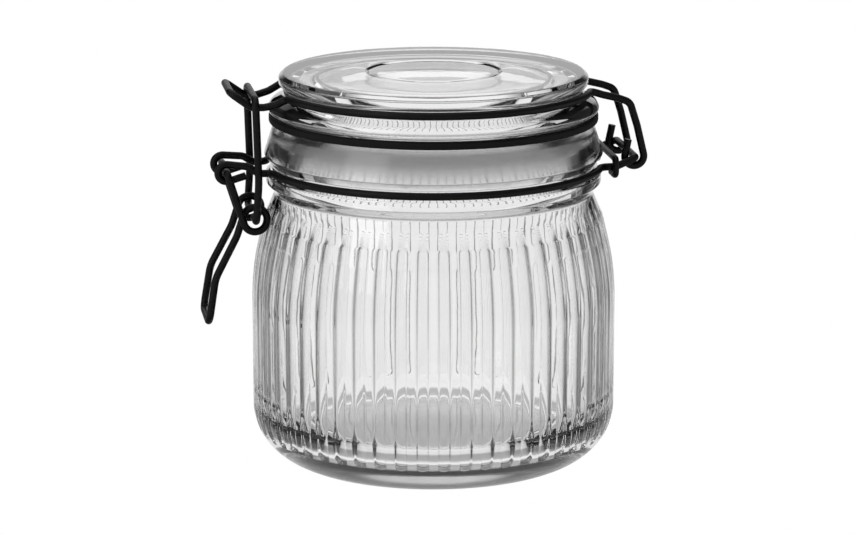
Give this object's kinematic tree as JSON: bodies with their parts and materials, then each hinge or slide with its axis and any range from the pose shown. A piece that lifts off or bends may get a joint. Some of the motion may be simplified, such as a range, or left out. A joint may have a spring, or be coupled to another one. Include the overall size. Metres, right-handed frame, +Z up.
{
  "type": "clip-top glass jar",
  "caption": "Low round ribbed glass storage jar with a glass lid on a rubber seal, a wire hinge and an over-centre wire clasp.",
  "frame": {"origin": "centre of the jar's round foot, on the surface it stands on", "axes": "+Z up along the jar's axis, +X towards the hinge, -X towards the clasp, Y along the hinge's bar"},
  "size_m": [0.131, 0.108, 0.1154],
  "materials": {
    "glass": "clear, smooth, with ribs down the outside",
    "seal": "matt black rubber",
    "wire": "satin black coating on round steel wire"
  },
  "bodies": {
    "jar": {"jar": "glass", "neck_wire": "wire", "tie_clip": "wire"},
    "lid": {"lid": "glass", "gasket": "seal", "lid_wire": "wire"},
    "lever": {"lever_wire": "wire"},
    "bail": {"bail_wire": "wire"}
  },
  "joints": [
    {"name": "lid_hinge", "type": "hinge", "parent": "jar", "child": "lid", "pos_m": [0.0581, 0, 0.0904], "axis": [0, 1, 0], "range_deg": [0, 110]},
    {"name": "lever_pivot", "type": "hinge", "parent": "jar", "child": "lever", "pos_m": [-0.062, 0, 0.088], "axis": [0, 1, 0], "range_deg": [0, 110]},
    {"name": "bail_pivot", "type": "hinge", "parent": "lever", "child": "bail", "pos_m": [-0.054, 0, 0.0743], "axis": [0, -1, 0], "range_deg": [0, 290]}
  ],
  "couplings": [
    {"joint": "bail_pivot", "follows": "lever_pivot", "ratio": 2.62}
  ]
}
